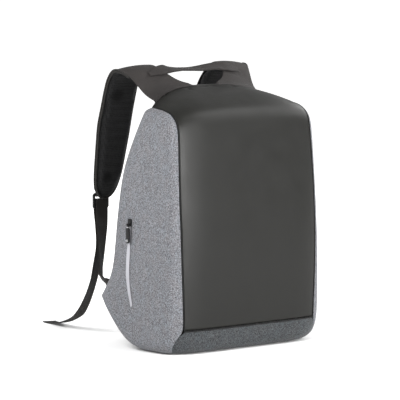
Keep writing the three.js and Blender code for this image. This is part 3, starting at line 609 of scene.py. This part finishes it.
class Band:
    """A flat band's centre line, the direction across it and the one off its face, from its CAD node."""

    def __init__(self, node):
        rings = rings_of(node)
        first = rings[0]
        if np.linalg.norm(first[1] - first[0]) < np.linalg.norm(first[2] - first[1]):
            rings = np.roll(rings, 1, axis=1)
        self.width = np.linalg.norm(rings[0][1] - rings[0][0])
        self.thickness = np.linalg.norm(rings[0][2] - rings[0][1])
        left = (rings[:, 0] + rings[:, 3]) / 2
        right = (rings[:, 1] + rings[:, 2]) / 2
        steps = np.linalg.norm(np.diff((left + right) / 2, axis=0), axis=1)
        keep = np.concatenate([[True], steps > 1e-6])
        self.left, self.right = left[keep], right[keep]

    def lines(self, step):
        """Fine centre points, directions across and off the face, and how far along each lies."""
        centre = smooth_line((self.left + self.right) / 2, step)
        coarse = (self.left + self.right) / 2
        lengths = np.concatenate([[0], np.cumsum(np.linalg.norm(np.diff(coarse, axis=0), axis=1))])
        shares = np.linspace(0, lengths[-1], len(centre))
        across = self.right - self.left
        across = np.stack([np.interp(shares, lengths, across[:, k]) for k in range(3)], 1)
        ways = frames_along(centre)
        across -= (across * ways).sum(1)[:, None] * ways
        across /= np.linalg.norm(across, axis=1)[:, None]
        face = np.cross(ways, across)
        along = np.concatenate([[0], np.cumsum(np.linalg.norm(np.diff(centre, axis=0), axis=1))])
        return centre, across, face, along


# Half outline of a band's section: shares of half its width and of half its thickness, with a
# selvedge that is a little fuller than the middle.
BAND_SECTION = [(0.0, 0.86), (0.35, 0.86), (0.7, 0.88), (0.86, 1.0), (0.96, 0.85), (1.0, 0.3)]


def band_mesh(band, step, shape=None):
    """A band with rings a step apart. shape(along, total) gives its width, thickness and lift there."""
    centre, across, face, along = band.lines(step)
    half = BAND_SECTION
    outline = half + [(x, -y) for x, y in reversed(half)]
    outline += [(-x, -y) for x, y in half[1:]] + [(-x, y) for x, y in reversed(half[1:])]
    rings, uv = [], []
    for i, (c, a, f) in enumerate(zip(centre, across, face)):
        wide, thick, lift = shape(along[i], along[-1]) if shape else (1, 1, 0)
        rings.append([c + a * x * band.width / 2 * wide + f * (y * band.thickness / 2 * thick + lift)
                      for x, y in outline])
        uv += [(x * band.width / 2, along[i]) for x, y in outline]
    return lofted(np.array(rings), uv=uv)


def sharp_loops(node, angle=50):
    """The node's runs of sharp edges, longest first, as arrays of points."""
    bm = bmesh.new()
    bm.from_mesh(NODES[node].data)
    bmesh.ops.remove_doubles(bm, verts=bm.verts, dist=1e-6)
    links = {}
    for edge in bm.edges:
        if edge.calc_face_angle() > math.radians(angle):
            a, b = edge.verts
            links.setdefault(a.index, []).append(b.index)
            links.setdefault(b.index, []).append(a.index)
    bm.verts.ensure_lookup_table()
    loops, seen = [], set()
    for start in sorted(links):
        if start in seen:
            continue
        loop = [start]
        seen.add(start)
        while True:
            onward = [k for k in links[loop[-1]] if k not in seen]
            if not onward:
                break
            loop.append(onward[0])
            seen.add(onward[0])
        loops.append(np.array([tuple(bm.verts[k].co) for k in loop]))
    bm.free()
    return sorted(loops, key=lambda loop: -len(loop))


# Cloth simulation
def tree_of(names):
    """A search tree over the CAD meshes of these nodes."""
    points, faces = [], []
    for name in names:
        mesh = NODES[name].data
        start = len(points)
        points += [v.co.copy() for v in mesh.vertices]
        faces += [[start + k for k in p.vertices] for p in mesh.polygons]
    return BVHTree.FromPolygons(points, faces)


def remeshed(node, voxel):
    """A CAD node's mesh as even quads."""
    return settled(NODES[node].data.copy(), ("WELD", {"merge_threshold": 1e-6}),
                   ("REMESH", {"mode": "VOXEL", "voxel_size": voxel}),
                   ("SMOOTH", {"factor": 0.5, "iterations": 3}))


CLOTH = {
    "quality": 5,
    "mass": 0.3,
    "tension_stiffness": 15,
    "compression_stiffness": 15,
    "shear_stiffness": 5,
    "bending_stiffness": 0.5,
    "use_pressure": True,
    "uniform_pressure_force": 4.0,
}
CLOTH_STEPS = 20
CLEAR_OF_NEIGHBOURS = 0.3 * MM


def puffed(mesh, neighbours, cap):
    """A padded piece swollen by cloth simulation, and kept clear of its neighbours."""
    start = points_of(mesh)
    obj = bpy.data.objects.new("padding", mesh)
    bpy.context.scene.collection.objects.link(obj)
    settings = obj.modifiers.new("cloth", "CLOTH").settings
    for key, value in CLOTH.items():
        setattr(settings, key, value)
    settings.effector_weights.gravity = 0
    for step in range(1, CLOTH_STEPS + 1):
        bpy.context.scene.frame_set(step)
    swollen = bpy.data.meshes.new_from_object(obj.evaluated_get(bpy.context.evaluated_depsgraph_get()))
    end = points_of(swollen)
    bpy.data.objects.remove(obj)
    tree = tree_of(neighbours)
    room = np.array([tree.find_nearest(Vector(p))[3] for p in start])
    allowed = np.clip(room - CLEAR_OF_NEIGHBOURS, 0, cap)
    move = end - start
    far = np.linalg.norm(move, axis=1)
    move *= np.minimum(1, allowed / np.maximum(far, 1e-9))[:, None]
    return set_points(swollen, start + move)


# The shell
# Creases near the yokes: from and to, in metres, on the right half, with depth and width.
CREASES = [
    {"start": (0.116, 0.039, 0.423), "end": (0.093, 0.032, 0.430), "depth": 2.6 * MM, "width": 3.2 * MM},
    {"start": (0.112, 0.030, 0.416), "end": (0.096, 0.022, 0.423), "depth": 1.4 * MM, "width": 5.0 * MM},
    {"start": (0.045, 0.036, 0.440), "end": (0.056, 0.019, 0.434), "depth": 2.0 * MM, "width": 4.0 * MM},
    {"start": (0.024, 0.028, 0.437), "end": (-0.004, 0.035, 0.438), "depth": 1.2 * MM, "width": 4.0 * MM},
]


def creased(points, creases):
    """How deep the creases are at each point, the same on both halves."""
    depth = np.zeros(len(points))
    for side in (-1, 1):
        turned = points * (side, 1, 1)
        for crease in creases:
            cut = crease["depth"] * furrow(turned, crease["start"], crease["end"], crease["width"])
            depth = np.maximum(depth, cut)
    return depth


def front_panel():
    """Coated cloth with faint waves, and creases where the yokes pull at its rear corners."""
    mesh = subdivided(cage("front_panel"), 3)

    def height(points, normals):
        outer = (normals[:, 1] < -0.3) | (normals[:, 2] > 0.3)
        return np.where(outer, 0.5 * MM * rumple(points, 9, 3) - creased(points, CREASES), 0)

    piece("front_cloth", sculpted(mesh, height), COATED, nodes=["front_panel"])


def side_panels():
    """The left side with faint waves on its outer face, and its mirror image."""
    mesh = subdivided(cage("side_panel_left"), 3)

    def height(points, normals):
        return np.where(normals[:, 0] < -0.2, 0.5 * MM * rumple(points, 11, 5), 0)

    sculpted(mesh, height)
    piece("side_cloth_left", mesh, HEATHER, nodes=["side_panel_left"])
    piece("side_cloth_right", mirrored(mesh), HEATHER, nodes=["side_panel_right"])


def base_panel():
    """Faint waves, which fade out where it stands on the floor."""
    mesh = subdivided(cage("base_panel"), 3)

    def height(points, normals):
        off_floor = np.clip((points[:, 2] - 4 * MM) / (10 * MM), 0, 1)
        return 0.4 * MM * rumple(points, 12, 7) * off_floor * (normals[:, 1] < 0.2)

    # The base gets the darker heather copy: painted shade.
    piece("base_cloth", sculpted(mesh, height), HEATHER_SHADED, nodes=["base_panel"])


def back_panel():
    around = ["side_panel_left", "side_panel_right", "base_panel", "front_panel",
              "strap_pad_left", "strap_pad_right", "strap_cover_left", "strap_cover_right"]
    mesh = puffed(subdivided(cage("back_panel"), 2), around, 3 * MM)
    obj = piece("back_padding", mesh, MESH, nodes=["back_panel"])


PIPING_THINNED = 0.35 * MM


def piping():
    mesh = subdivided(cage("front_piping", angle=75), 2)
    sculpted(mesh, lambda points, normals: np.full(len(points), -PIPING_THINNED))
    piece("piping", mesh, TRIM, nodes=["front_piping"])


front_panel()
side_panels()
base_panel()
back_panel()
piping()


# Straps
def strap_edge(node, behind):
    """The rim of a strap part from its inner edge round the tip to its outer edge, past a depth."""
    loop = sharp_loops(node)[0]
    tip = int(np.argmin(loop[:, 2]))
    loop = np.roll(loop, len(loop) // 2 - tip, axis=0)
    keep = loop[:, 1] > behind
    middle = len(loop) // 2
    first = middle
    while first > 0 and keep[first - 1]:
        first -= 1
    last = middle
    while last < len(loop) - 1 and keep[last + 1]:
        last += 1
    return loop[first:last + 1]


def on_surface(mesh, line, inward, lift):
    """A line moved inward over a mesh and set on it: its points and the directions off the mesh."""
    bm = bmesh.new()
    bm.from_mesh(mesh)
    tree = BVHTree.FromBMesh(bm)
    places, ups = [], []
    for point, step in zip(line, inward):
        place, normal, _, _ = tree.find_nearest(Vector(point + step))
        places.append(np.array(place + normal * lift))
        ups.append(np.array(normal))
    bm.free()
    return np.array(places), np.array(ups)


# Where the handle leaves the yoke, and a hollow in front of it.
SLIT = {"start": (0.103, 0.064, 0.449), "end": (0.068, 0.066, 0.459), "depth": 1.5 * MM, "width": 2.4 * MM}
HOLLOW = {"place": (0.105, 0.069, 0.454), "radius": (0.010, 0.008, 0.008), "depth": 1.6 * MM}


def cover_height(points, normals):
    """Faint waves on the left strap's cover, and its creases, slit and hollow."""
    top = (normals[:, 2] > 0.1) | (normals[:, 1] > 0.4)
    turned = points * (-1, 1, 1)
    hollow = HOLLOW["depth"] * dent(turned, HOLLOW["place"], HOLLOW["radius"])
    cuts = creased(points, [*CREASES, SLIT]) + hollow
    return 0.35 * MM * rumple(points, 22, 11) - np.where(top, cuts, 0)


# How far in from its rim the cover is thinned, how near the top panel, and what is left of its lift.
LAP_WIDTH, LAP_REACH, LAP_LEFT = 11 * MM, 4 * MM, 0.12


def feathered(covers):
    """Thins the cover where it laps over the top panel, so that it runs out of it without a step."""
    rim = sharp_loops("strap_cover_left")[0]
    lap = rim[rim[:, 1] < 0.05]
    lap = lap[np.argsort(lap[:, 0])]
    points = points_of(covers)
    panel = tree_of(["front_panel"])
    share = smooth(distance_to(points, lap) / LAP_WIDTH)
    for i, point in enumerate(points):
        place, _, _, away = panel.find_nearest(Vector(point))
        if share[i] < 1 and away < LAP_REACH:
            points[i] = np.array(place + (Vector(point) - place) * (LAP_LEFT + (1 - LAP_LEFT) * share[i]))
    set_points(covers, points)


# The binding runs round the pad's rim behind this depth, and the seam lies inside it on the cover.
BINDING_FROM, BINDING_RADIUS, RIM_STEP = 0.075, 1.4 * MM, 2.5 * MM
SEAM_INSET, SEAM_LIFT, SEAM_ENDS = 5 * MM, 0.05 * MM, 4


def strap_seam(covers, rim):
    """A row of stitches on the cover, inside its rim."""
    middle = smooth_line(rim, RIM_STEP)
    inward = np.cross(frames_along(middle), (0.0, 1.0, 0.15))
    inward /= np.linalg.norm(inward, axis=1)[:, None]
    half = len(middle) // 2
    if inward[half] @ (rim.mean(0) - middle[half]) < 0:
        inward = -inward
    line, ups = on_surface(covers, middle, inward * SEAM_INSET, SEAM_LIFT)
    return stitches(line[SEAM_ENDS:-SEAM_ENDS], ups[SEAM_ENDS:-SEAM_ENDS])


def straps():
    """The left strap's pad, cover, binding and seam, and their mirror images."""
    around = ["strap_cover_left", "back_panel", "front_panel"]
    pads = settled(puffed(remeshed("strap_pad_left", 4 * MM), around, 2.5 * MM),
                   ("SMOOTH", {"factor": 0.4, "iterations": 2}),
                   ("SUBSURF", {"levels": 1, "render_levels": 1}))
    covers = subdivided(cage("strap_cover_left", crease=0.75), 3)
    feathered(covers)
    sculpted(covers, cover_height)
    rim = smooth_line(strap_edge("strap_pad_left", BINDING_FROM), RIM_STEP)
    binding = tube(rim, BINDING_RADIUS, 10)
    seams = strap_seam(covers, rim)
    for side, make in (("left", lambda mesh: mesh), ("right", mirrored)):
        pad = piece(f"strap_padding_{side}", make(pads), MESH, nodes=[f"strap_pad_{side}"])
        piece(f"strap_cloth_{side}", make(covers), STRAP, nodes=[f"strap_cover_{side}"])
        piece(f"strap_binding_{side}", make(binding), BINDING)
        piece(f"strap_stitches_{side}", make(seams), THREAD)


def rows_on_band(band, offsets, start, end, side):
    """Stitch rows along a band's face, at offsets from its middle, between two shares of its length."""
    centre, across, face, _ = band.lines(2 * MM)
    low, high = int(start * len(centre)), int(end * len(centre))
    made = []
    for offset in offsets:
        line = centre + across * offset + face * side * band.thickness / 2 * 0.92
        made.append(stitches(line[low:high], side * face[low:high]))
    return made


# At its ends the handle narrows over one length and thins and sinks into the yoke over another.
HANDLE_NARROWS, HANDLE_THINS, HANDLE_SINKS = 26 * MM, 34 * MM, 1.9 * MM
HANDLE_END_WIDTH, HANDLE_END_THICKNESS = 0.45, 0.3


def handle():
    band = Band("grab_handle")

    def shape(along, total):
        near_end = min(along, total - along)
        rise = smooth(near_end / HANDLE_THINS)
        wide = HANDLE_END_WIDTH + (1 - HANDLE_END_WIDTH) * smooth(near_end / HANDLE_NARROWS)
        thick = HANDLE_END_THICKNESS + (1 - HANDLE_END_THICKNESS) * rise
        return wide, thick, HANDLE_SINKS * (rise - 1) * up

    _, _, face, _ = band.lines(2 * MM)
    up = 1 if face[len(face) // 2][2] > 0 else -1
    mesh = band_mesh(band, 2.0 * MM, shape)
    piece("handle_cloth", mesh, STRAP, nodes=["grab_handle"])
    edge = band.width / 2 - 3 * MM
    rows = rows_on_band(band, (-edge, edge), 0.2, 0.8, up)
    piece("handle_stitches", joined(rows), THREAD)


def webbings():
    for side in ("left", "right"):
        band = Band(f"webbing_{side}")
        piece(f"webbing_band_{side}", band_mesh(band, 2.0 * MM), BAND, nodes=[f"webbing_{side}"])
        loop = Band(f"strap_loop_{side}")
        piece(f"loop_band_{side}", band_mesh(loop, 1.2 * MM), BAND, nodes=[f"strap_loop_{side}"])
        tab = Band(f"web_tab_{side}")
        piece(f"tab_cloth_{side}", band_mesh(tab, 1.5 * MM), STRAP, nodes=[f"web_tab_{side}"])


straps()
handle()
webbings()


# Hardware and tape
def hard_piece(name, node, material, bevel, body="bag"):
    """A hard CAD node with its edges rounded."""
    bm = bmesh.new()
    bm.from_mesh(NODES[node].data)
    bmesh.ops.remove_doubles(bm, verts=bm.verts, dist=1e-6)
    bmesh.ops.dissolve_limit(bm, angle_limit=math.radians(1), verts=bm.verts, edges=bm.edges)
    mesh = bpy.data.meshes.new("hard")
    bm.to_mesh(mesh)
    bm.free()
    mesh = settled(mesh, ("BEVEL", {"width": bevel, "segments": 3, "limit_method": "ANGLE",
                                    "angle_limit": math.radians(35), "harden_normals": False}))
    piece(name, mesh, material, body, [node])


# The tape's width, as a share of its CAD width, at shares of its height.
TAPE_SHARES = [0.0, 0.1, 0.35, 0.62, 0.72, 1.0]
TAPE_WIDTHS = [0.5, 0.66, 0.9, 0.9, 0.7, 0.6]


def tapered(mesh, top):
    """The tape, narrower beside the pull and towards its lower end, with its upper end at a height."""
    points = points_of(mesh)
    low, high = points[:, 2].min(), points[:, 2].max()
    upper = low + 0.6 * (high - low)
    over = points[:, 2] > upper
    points[over, 2] = upper + (points[over, 2] - upper) * (top - upper) / (high - upper)
    high = top
    levels = np.linspace(low, high, 40)
    middles = [np.mean(points[np.abs(points[:, 2] - level) < 5 * MM, 1]) for level in levels]
    share = (points[:, 2] - low) / (high - low)
    wide = np.interp(share, TAPE_SHARES, TAPE_WIDTHS)
    middle = np.interp(points[:, 2], levels, middles)
    points[:, 1] = middle + (points[:, 1] - middle) * wide
    return set_points(mesh, points)


# The steel ring's height over the pull's lower end and the collar's depth under its upper end, with
# their radii and the radius of the wire.
RING = {"height": 4.2 * MM, "radius": 1.7 * MM, "wire": 0.55 * MM}
COLLAR = {"depth": 6.6 * MM, "radii": (1.5 * MM, 2.0 * MM), "wire": 0.6 * MM}


def steel_parts(side):
    """Bright metal at the pull's eye and a small ring near its lower end."""
    box = points_of(NODES[f"zip_pull_{side}"].data)
    low, high = box.min(0), box.max(0)
    sign = -1 if side == "left" else 1
    middle = (low + high) / 2
    out = low[0] if side == "left" else high[0]
    turns = [2 * math.pi * k / 24 for k in range(25)]
    ring_at = np.array([out + sign * 0.05 * MM, middle[1], low[2] + RING["height"]])
    ring = [ring_at + RING["radius"] * np.array([0, math.cos(t), math.sin(t)]) for t in turns]
    collar_at = np.array([middle[0], middle[1], high[2] - COLLAR["depth"]])
    a, b = COLLAR["radii"]
    collar = [collar_at + np.array([a * math.cos(t), b * math.sin(t), 0]) for t in turns]
    whole = joined([tube(np.array(ring), RING["wire"], 8), tube(np.array(collar), COLLAR["wire"], 8)])
    piece(f"puller_steel_{side}", whole, STEEL, f"pull_{side}")


def hardware():
    for side in ("left", "right"):
        steel_parts(side)
        hard_piece(f"buckle_{side}", f"ladder_lock_{side}", PLASTIC, 1.2 * MM)
        hard_piece(f"slider_{side}", f"zip_slider_{side}", ENAMEL, 0.25 * MM)
        hard_piece(f"puller_{side}", f"zip_pull_{side}", ENAMEL, 0.3 * MM, f"pull_{side}")
        top = points_of(NODES[f"zip_slider_{side}"].data)[:, 2].max() - 3 * MM
        tape = tapered(subdivided(cage(f"reflective_tape_{side}", crease=0.8), 3), top)
        piece(f"tape_{side}", tape, TAPE, nodes=[f"reflective_tape_{side}"])


hardware()
